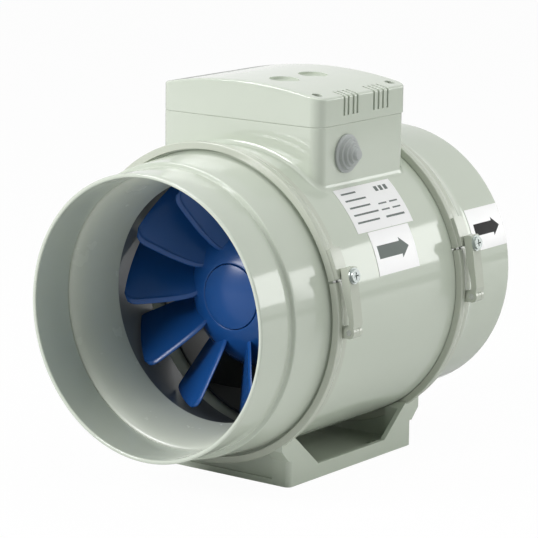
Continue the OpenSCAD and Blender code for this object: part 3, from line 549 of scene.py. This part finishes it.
CLAMP_R, GROOVE, BORE, HALF = 112.3, 108.5, 107.3, 8.25
PIN_OUT, PIN_HOLE = 118.5, 2.05                        # band hinge: distance from the axis, radius of its hole
LATCH_TURN, LATCH_OUT, LATCH_UP = 8.5, 116.6, -21.5    # latch hinge: turn round the axis, and its place there
clamp_outline = soften([(-HALF, BORE, 0.2), (-HALF, CLAMP_R, 0.9), (-HALF / 2, CLAMP_R, 1.2), (0.6, 110.4, 1.5),
                        (5.1, 110.3, 0.6), (HALF, 108.1, 0.4), (HALF, BORE, 0.2), (5.1, BORE, 0.1),
                        (5.1, GROOVE, 0.1), (-5.1, GROOVE, 0.1), (-5.1, BORE, 0.1)], 0.3, 3)


def at_joint(x, profile):
    return [(x + s, r) for s, r in profile]


def side_place(x, a):
    """Places (out, up, along) at the latch side, turned by a round the duct axis, at station x."""
    c, s = math.cos(rad(a)), math.sin(rad(a))

    def place(out, up, along):
        return (x + along, -out * c + up * s, AXIS_Z + out * s + up * c)
    return place


def knuckle(x, a, out, up, r, low, high, seg=40):
    turns = [2 * math.pi * k / seg for k in range(seg)]
    ring = [(out + r * math.cos(t), up + r * math.sin(t)) for t in turns]
    return prism_data(ring, side_place(x, a), low, high)


for tag, x in (("inlet", -JOINT), ("outlet", JOINT)):
    node = tag + "_clamp_band"
    body = tag + "_band"
    band = lathe_data(at_joint(x, clamp_outline), 15.8, 176.0, 150)
    shoe_line = soften([(-7.25, 111.3), (-7.25, 114.9, 0.7), (5.0, 114.9, 0.7), (5.0, 111.3), ], 0.2, 3)
    shoe = lathe_data(at_joint(x, shoe_line), 16.1, 26.5, 16)
    latch_place = side_place(x, LATCH_TURN)
    latch_out = (0, -math.cos(rad(LATCH_TURN)), math.sin(rad(LATCH_TURN)))
    slot_end = cylinder_data(latch_place(0, 16.2, 0), latch_out, 3.9, 110.4, 130)
    slot_box = prism_data([(110.4, 16.2), (130, 16.2), (130, -4), (110.4, -4)], latch_place, -3.9, 3.9)
    ear = prism_data([(108.9, -11), (PIN_OUT, -11), (PIN_OUT, 0), (108.9, 0)], side_place(x, 180), -3.7, 3.7)
    ear_round = knuckle(x, 180, PIN_OUT, 0, 5.0, -3.7, 3.7)
    pin_hole = knuckle(x, 180, PIN_OUT, 0, PIN_HOLE, -12, 12, 32)
    mesh = carve(band, [("UNION", shoe), ("UNION", ear), ("UNION", ear_round), ("DIFFERENCE", slot_end),
                        ("DIFFERENCE", slot_box), ("DIFFERENCE", pin_hole)], 0.25, 2, 50)
    dress(node, mesh, clamp_plastic, body=body, node=node, slot="clamp", sharp=40)

    lower = lathe_data(at_joint(x, clamp_outline), -176.0, 15.0, 180)
    cuts = []
    for i in range(1, 6):
        cuts.append(prism_data([(110.7, -1.6), (116, -1.6), (116, 1.6), (110.7, 1.6)],
                               side_place(x, -14.6 * i), -2.0, 2.0))
    parts = [("DIFFERENCE", join_data(*cuts))]
    parts.append(("UNION", prism_data([(107.6, -25.7), (LATCH_OUT, -25.7), (LATCH_OUT, -17.3), (107.6, -17.3)],
                                      latch_place, -1.6, 1.6)))
    parts.append(("UNION", knuckle(x, LATCH_TURN, LATCH_OUT, LATCH_UP, 4.2, -1.6, 1.6)))
    for low, high in ((-7.95, -4.0), (4.0, 7.95)):
        parts.append(("UNION", prism_data([(109.3, 0), (PIN_OUT, 0), (PIN_OUT, 11), (109.3, 11)],
                                          side_place(x, 180), low, high)))
        parts.append(("UNION", knuckle(x, 180, PIN_OUT, 0, 5.0, low, high)))
    parts.append(("DIFFERENCE", pin_hole))
    parts.append(("DIFFERENCE", knuckle(x, LATCH_TURN, LATCH_OUT, LATCH_UP, PIN_HOLE, -12, 12, 32)))
    mesh = carve(lower, parts, 0.25, 2, 50)
    dress(tag + "_lower_ring", mesh, clamp_plastic, slot="shell", sharp=40)

# foot: side walls with their windows, posts at the corners, end walls and base plate
FL, FW, PLATE = 150.0, 134.0, 4.0
FLARE_X, FLARE_Z, SILL, WINDOW = JOINT + HALF - 0.2, 18.5, 10.3, 81.0
TOP = 40.0


def upright(x, z, y):
    return (x, y, z)


half = FL / 2
side_shape = [(-half, 0), (half, 0), (half, FLARE_Z), (FLARE_X, FLARE_Z + FLARE_X - half), (FLARE_X, TOP),
              (-FLARE_X, TOP), (-FLARE_X, FLARE_Z + FLARE_X - half), (-half, FLARE_Z)]
window = [(-WINDOW / 2, SILL), (WINDOW / 2, SILL), (WINDOW / 2 + 1.16 * (TOP + 1 - SILL), TOP + 1),
          (-WINDOW / 2 - 1.16 * (TOP + 1 - SILL), TOP + 1)]
plan = [(x, y) for x, y, n in whole_outline(FL, FW, 4.0, 0.0, 2)]


def flat(x, y, z):
    return (x, y, z)


foot_steps = []
base = prism_data(plan, flat, 0, PLATE)
for sy in (-1, 1):
    y0, y1 = sorted((sy * FW / 2, sy * (FW / 2 - 3.5)))
    foot_steps.append(("UNION", prism_data(side_shape, upright, y0, y1)))
    y0, y1 = sorted((sy * FW / 2, sy * (FW / 2 - 14.5)))
    for sx in (-1, 1):
        post = [(sx * px, pz) for px, pz in ((62.0, 0), (half, 0), (half, FLARE_Z),
                                             (FLARE_X, FLARE_Z + FLARE_X - half), (FLARE_X, TOP), (62.0, TOP))]
        foot_steps.append(("UNION", prism_data(post, upright, y0, y1)))
for sx in (-1, 1):
    x0, x1 = sorted((sx * (half - 2.1), sx * (half - 5.6)))
    foot_steps.append(("UNION", box_data(x0, x1, -FW / 2 + 13.5, FW / 2 - 13.5, 0, TOP)))
for sy in (-1, 1):
    y0, y1 = sorted((sy * 90.0, sy * 40.0))
    foot_steps.append(("DIFFERENCE", prism_data(window, upright, y0, y1)))
# the foot clears the clamp rings' groove under the rings, and the casing between them
for low, high, r in ((-120, -66, 108.8), (-67, 67, 107.4), (66, 120, 108.8)):
    foot_steps.append(("DIFFERENCE", cylinder_data((0, 0, AXIS_Z), (1, 0, 0), r, low, high, 256)))
FOOT_CORNER = 4.0
for sx in (-1, 1):
    for sy in (-1, 1):
        cx, cy = half - FOOT_CORNER, FW / 2 - FOOT_CORNER
        arc = [(cx + FOOT_CORNER * math.cos(rad(t)), cy + FOOT_CORNER * math.sin(rad(t)))
               for t in range(0, 91, 10)]
        outside = [(half + 1, cy)] + arc + [(cx, FW / 2 + 1), (half + 1, FW / 2 + 1)]
        foot_steps.append(("DIFFERENCE", prism_data([(sx * x, sy * y) for x, y in outside], flat, -1, FLARE_Z)))
for sx in (-1, 1):
    for sy in (-1, 1):
        outline = []
        for k in range(32):
            t = 360 * k / 32
            shift = 2.75 if math.cos(rad(t)) >= 0 else -2.75
            outline.append((sx * 50 + shift + 2.75 * math.cos(rad(t)), sy * 50 + 2.75 * math.sin(rad(t))))
        foot_steps.append(("DIFFERENCE", prism_data(outline, flat, -3, 9)))
foot_mesh = carve(base, foot_steps, 0.6, 3, 35)
dress("mounting_foot", foot_mesh, shell, node="mounting_foot", slot="shell", sharp=40)

# ---------- impeller ----------

HUB_R, HUB_BACK, HUB_DEPTH, NOSE_R = 58.0, -12.0, 47.0, 23.4


def hub_x(r, grow=0.0):
    return HUB_BACK - (HUB_DEPTH + grow) * math.sqrt(max(0.0, 1 - (r / (HUB_R + grow)) ** 2))


hub_outline = []
for k in range(41):
    r = NOSE_R + (HUB_R - NOSE_R) * math.sin(rad(90 * k / 40))
    hub_outline.append((hub_x(r), r))
hub_outline[0] = (hub_x(NOSE_R) + 1.6, NOSE_R)
hub_outline.insert(1, (hub_x(NOSE_R + 0.1) + 0.5, NOSE_R + 0.05))
hub_outline.insert(2, (hub_x(NOSE_R + 0.5) + 0.1, NOSE_R + 0.45))
hub_inner = [(-12.0, 55.5)] + [(HUB_BACK - 44.5 * math.sin(rad(t)), 55.5 * math.cos(rad(t)))
                               for t in range(5, 66, 5)]
hub_line = hub_outline + hub_inner + [(-52.0, NOSE_R)]


def tip_radius(x):
    return 86.5 + (100.2 - 86.5) * (x + 73.95) / 53.95


def on_plate(x, r, h, angle):
    """Point at distance r from the axis on a plate that stands h off the plane through the axis at angle."""
    c, s = math.cos(rad(angle)), math.sin(rad(angle))
    out = math.sqrt(max(r * r - h * h, 0.0))
    return (x, -out * c + h * s, AXIS_Z + out * s + h * c)


def blade_point(u, v):
    """Middle surface of a blade: u from leading to trailing edge, v from root to tip; (x, out, height)."""
    lead_root, lead_tip = (-50.0, 33.0), (-77.2, 79.5)
    trail_root, trail_tip = (-29.0, 52.5), (-42.0, tip_radius(-42.0))
    lx = lead_root[0] + (lead_tip[0] - lead_root[0]) * v ** 0.8
    lr = lead_root[1] + (lead_tip[1] - lead_root[1]) * v
    tx = trail_root[0] + (trail_tip[0] - trail_root[0]) * v
    tr = trail_root[1] + (trail_tip[1] - trail_root[1]) * v
    x = lx + (tx - lx) * u
    r = lr + (tr - lr) * u
    line = (x + 76.5) / 64.5
    height = 42.5 + (-14.0 - 42.5) * line - 14.0 * line * (1 - line)
    return x, r, height


def blade_data(angle):
    nu, nv = 24, 20
    thick = 2.0
    rows = []
    for j in range(nv + 1):
        v = j / nv
        # round the leading corner of the tip by starting further in near v = 1
        corner = 0.0
        if v > 0.8:
            s = (v - 0.8) / 0.2
            corner = 0.13 * (1 - math.sqrt(max(0.0, 1 - s * s)))
        edge_steps = [0.0, 0.003, 0.008, 0.015, 0.022, 0.03, 0.04, 0.065]
        inner_steps = [0.065 + 0.87 * i / nu for i in range(1, nu)]
        chord = [corner + (1 - corner) * u for u in
                 edge_steps + inner_steps + [1 - e for e in reversed(edge_steps)]]
        upper, lower = [], []
        for u in chord:
            x, r, h = blade_point(u, v)
            near = min((u - corner) * 60.0, (1 - u) * 60.0, 1.4) / 1.4
            tip = min((1 - v) * 45.0, 1.2) / 1.2
            half_t = thick / 2 * (0.1 + 0.9 * math.sqrt(max(0.0, 1 - (1 - near) ** 2)))
            half_t *= 0.3 + 0.7 * math.sqrt(max(0.0, 1 - (1 - tip) ** 2))
            lip = (u - corner) * 40.0
            if lip < 1.6:
                half_t += 0.5 * math.sin(math.pi * lip / 1.6)
            upper.append((x, r, h + half_t))
            lower.append((x, r, h - half_t))
        rows.append(upper + lower[::-1])
    m = len(rows[0])
    verts = [on_plate(*point, angle) for row in rows for point in row]
    faces = loft_faces(nv + 1, m)
    faces.append(tuple(range(m)))
    faces.append(tuple(range(nv * m, (nv + 1) * m)))
    return verts, faces


lathe("impeller", hub_line, blue, body="rotor", node="impeller", slot="blade")
blades = join_data(*[blade_data(12 + 36 * i) for i in range(10)])
make_piece("impeller_blades", *blades, blue, body="rotor", slot="blade", sharp=50)
cap = [(hub_x(r), r) for r in [0.0] + [22.6 * math.sin(rad(t)) for t in range(6, 91, 6)]]
cap_line = cap + [(hub_x(22.9) + 0.35, 22.9), (hub_x(23.1) + 1.2, 22.95), (-50.0, 23.1), (-50.0, 21.1),
                  (-54.0, 20.0), (-57.0, 0.0)]
lathe("nose_cap", cap_line, blue, seg=128, body="rotor", node="nose_cap", slot="blade")

# ---------- guide vanes and tail cone ----------

ring_line = soften([(-4.0, 103.7), (60.0, 103.7), (60.0, 101.7), (-4.0, 101.7)], 0.5)
drum_line = soften([(-9.5, 55.5), (-9.5, 58.0), (48.0, 58.0), (48.0, 55.5), (18.0, 55.5, 0.2), (18.0, 43.5),
                    (14.0, 43.5), (14.0, 55.5, 0.2)], 0.5)


def vane_data(angle):
    n = 16
    upper, lower = [], []
    for i in range(n + 1):
        u = i / n
        x = -3.0 + 50.0 * u
        h = -22.0 * (1 - u) ** 2
        near = min(u * 50, (1 - u) * 50, 2.0) / 2.0
        half_t = 1.1 * (0.3 + 0.7 * math.sqrt(max(0.0, 1 - (1 - near) ** 2)))
        upper.append((x, h + half_t))
        lower.append((x, h - half_t))
    outline = upper + lower[::-1]
    verts = [on_plate(x, r, h, angle) for r in (57.0, 70.0, 86.0, 102.5) for x, h in outline]
    m = len(outline)
    faces = loft_faces(4, m)
    faces.append(tuple(range(m)))
    faces.append(tuple(range(3 * m, 4 * m)))
    return verts, faces


VANES = 11
first_vane = 90 + 180 / VANES + 5
vanes = join_data(lathe_data(ring_line), lathe_data(drum_line),
                  *[vane_data(first_vane + 360 * i / VANES) for i in range(VANES)])
make_piece("guide_vanes", *vanes, vane_plastic, node="guide_vanes", slot="vane", sharp=45)
tail = [(48.2 + 34 * math.sin(rad(t)), 58 * math.cos(rad(t))) for t in range(0, 91, 5)]
tail_back = [(48.0 + 32 * math.sin(rad(t)), 53.5 * math.cos(rad(t))) for t in range(90, -1, -6)]
tail_line = tail + tail_back + [(40.0, 53.5), (40.0, 55.2), (48.2, 55.2)]
lathe("tail_cone", tail_line, vane_plastic, node="tail_cone", slot="vane")

# ---------- labels: white films with generic print ----------


def wrapped(r, x0, x1, a0, a1, lift, t):
    n = max(1, int(abs(a1 - a0) / 0.8))
    verts, faces = [], []
    for i in range(n + 1):
        a = a0 + (a1 - a0) * i / n
        for rr in (r + lift, r + lift + t):
            for x in (x0, x1):
                verts.append(polar(x, rr, a))
    for i in range(n):
        k = 4 * i
        for q in ((0, 1, 5, 4), (2, 6, 7, 3), (0, 4, 6, 2), (1, 3, 7, 5)):
            faces.append(tuple(k + j for j in q))
    faces.append((0, 2, 3, 1))
    faces.append((4 * n, 4 * n + 1, 4 * n + 3, 4 * n + 2))
    return verts, faces


def arrow_data(r, x0, x1, a, body_h, head_h, head, lift, t):
    """Flat arrow pointing along the flow, wrapped on the surface in slices along its length."""
    turn = math.degrees(1 / r)
    neck = x1 - head
    stations = [(x0, body_h), (neck, body_h), (neck + 0.01, head_h), (x1, 0.2)]
    verts, faces = [], []
    n = 10
    for x, h in stations:
        for rr in (r + lift, r + lift + t):
            verts += [polar(x, rr, a + (k / n - 0.5) * h * turn) for k in range(n + 1)]
    row = 2 * (n + 1)
    for i in range(len(stations) - 1):
        for k in range(n):
            low, high = i * row, (i + 1) * row
            faces.append((low + k, low + k + 1, high + k + 1, high + k))
            faces.append((low + n + 1 + k, low + n + 2 + k, high + n + 2 + k, high + n + 1 + k))
        for k in (0, n):
            faces.append((i * row + k, i * row + n + 1 + k, (i + 1) * row + n + 1 + k, (i + 1) * row + k))
    for i in (0, len(stations) - 1):
        for k in range(n):
            faces.append((i * row + k, i * row + k + 1, i * row + n + 2 + k, i * row + n + 1 + k))
    return verts, faces


FILM_LIFT, FILM_T = 0.05, 0.25
PRINT_LIFT, PRINT_T, ARROW_T = 0.31, 0.05, 0.06
# radius, then the area as two stations and two angles
for name, r, area in (("rating_label", CASING_R, (-35.0, 31.5, 29.7, 48.5)),
                      ("flow_label", CASING_R, (-24.5, 24.0, 12.8, 29.4)),
                      ("outlet_label", SPIGOT_R, (107.0, 149.5, 11.7, 29.5))):
    make_piece(name, *wrapped(r, *area, FILM_LIFT, FILM_T), film, node=name, slot="label")
make_piece("flow_arrow", *arrow_data(CASING_R, -20.2, 16.3, 21.3, 9.2, 14.5, 9.5, PRINT_LIFT, ARROW_T),
           ink_grey, slot="label")
make_piece("outlet_arrow", *arrow_data(SPIGOT_R, 112.0, 144.3, 20.3, 8.6, 13.5, 8.5, PRINT_LIFT, ARROW_T),
           ink_black, slot="label")


def bar(x0, x1, a0, a1):
    return wrapped(CASING_R, x0, x1, a0, a1, PRINT_LIFT, PRINT_T)


bars = []
for i, length in enumerate((17, 24, 24, 29, 26)):
    a = 46.0 - 3.1 * i
    bars.append(bar(-30.0, -30.0 + length, a - 0.35, a + 0.35))
for i in range(3):
    bars.append(bar(9.0 + 5.6 * i, 12.6 + 5.6 * i, 44.4, 46.6))
for i in range(2):
    for a in (39.2, 36.6):
        bars.append(bar(3.0 + 13.0 * i, 12.5 + 13.0 * i, a - 0.3, a + 0.3))
bars.append(bar(4.0, 26.0, 33.2, 34.0))
make_piece("rating_print", *join_data(*bars), ink_grey, slot="label")

# ---------- floor, light and camera ----------


def area_light(name, place, target, size, power, colour=(1, 1, 1)):
    data = bpy.data.lights.new(name, "AREA")
    data.shape = "RECTANGLE"
    data.size, data.size_y = size
    data.energy = power
    data.color = colour
    obj = bpy.data.objects.new(name, data)
    obj.location = place
    aim = Vector(target) - Vector(place)
    obj.rotation_euler = aim.to_track_quat("-Z", "Y").to_euler()
    bpy.context.scene.collection.objects.link(obj)
    return obj


CENTRE = (0.0, 0.0, 0.13)
area_light("side softbox", (1.25, -0.9, 0.45), CENTRE, (0.9, 0.45), 5.2)
area_light("top softbox", (0.1, -0.3, 1.6), CENTRE, (1.2, 1.2), 10.5)
area_light("end softbox", (-1.6, 0.9, 1.1), CENTRE, (0.8, 0.8), 35.0, (0.985, 0.965, 1.0))
front_fill = area_light("front fill", (0.45, -1.7, 0.9), CENTRE, (1.2, 0.8), 6.5)
front_fill.visible_glossy = False

world = bpy.data.worlds.new("studio")
bpy.context.scene.world = world
world.use_nodes = True
tree = world.node_tree
back = tree.nodes["Background"]
back.inputs["Color"].default_value = (0.9, 0.93, 0.95, 1)
back.inputs["Strength"].default_value = 0.2
white = tree.nodes.new("ShaderNodeBackground")
white.inputs["Color"].default_value = (1, 1, 1, 1)
white.inputs["Strength"].default_value = 1.0
path = tree.nodes.new("ShaderNodeLightPath")
mix = tree.nodes.new("ShaderNodeMixShader")
seen = path.outputs["Is Camera Ray"]
for ray in ("Is Glossy Ray", "Is Transmission Ray"):
    either = tree.nodes.new("ShaderNodeMath")
    either.operation = "MAXIMUM"
    tree.links.new(seen, either.inputs[0])
    tree.links.new(path.outputs[ray], either.inputs[1])
    seen = either.outputs[0]
tree.links.new(seen, mix.inputs[0])
tree.links.new(back.outputs[0], mix.inputs[1])
tree.links.new(white.outputs[0], mix.inputs[2])
tree.links.new(mix.outputs[0], tree.nodes["World Output"].inputs["Surface"])

floor_mesh = bpy.data.meshes.new("floor")
floor_mesh.from_pydata([(-4, -4, 0), (4, -4, 0), (4, 4, 0), (-4, 4, 0)], [], [(0, 1, 2, 3)])
floor = bpy.data.objects.new("floor", floor_mesh)
bpy.context.scene.collection.objects.link(floor)
n = Nodes("floor paper")
n.shader.inputs["Base Color"].default_value = (0.86, 0.86, 0.86, 1)
n.shader.inputs["Roughness"].default_value = 0.9
glow = n.add("ShaderNodeEmission")
glow.inputs["Strength"].default_value = 1.0
path = n.add("ShaderNodeLightPath")
part = n.add("ShaderNodeMath", operation="MULTIPLY")
part.inputs[1].default_value = 0.97
n.link(path.outputs["Is Camera Ray"], part.inputs[0])
mix = n.add("ShaderNodeMixShader")
n.link(part.outputs[0], mix.inputs[0])
n.link(n.shader.outputs[0], mix.inputs[1])
n.link(glow.outputs[0], mix.inputs[2])
n.link(mix.outputs[0], n.tree.nodes["Material Output"].inputs["Surface"])
floor_mesh.materials.append(n.mat)

AZIMUTH, ELEVATION, ROLL = rad(-53.41), rad(11.55), rad(0.75)
back_dir = Vector((math.sin(AZIMUTH) * math.cos(ELEVATION), -math.cos(AZIMUTH) * math.cos(ELEVATION),
                   math.sin(ELEVATION)))
right_dir = (-back_dir).cross(Vector((0, 0, 1))).normalized()
up_dir = right_dir.cross(-back_dir)
right_roll = right_dir * math.cos(ROLL) + up_dir * math.sin(ROLL)
up_roll = -right_dir * math.sin(ROLL) + up_dir * math.cos(ROLL)
cam_data = bpy.data.cameras.new("camera")
cam_data.lens = 188.49
cam_data.sensor_width = 36
camera = bpy.data.objects.new("camera", cam_data)
camera.matrix_world = Matrix.Translation((-1.5785, -1.1639, 0.5335)) @ Matrix(
    (right_roll, up_roll, back_dir)).transposed().to_4x4()
bpy.context.scene.collection.objects.link(camera)
bpy.context.scene.camera = camera
bpy.context.scene.view_settings.view_transform = "Standard"
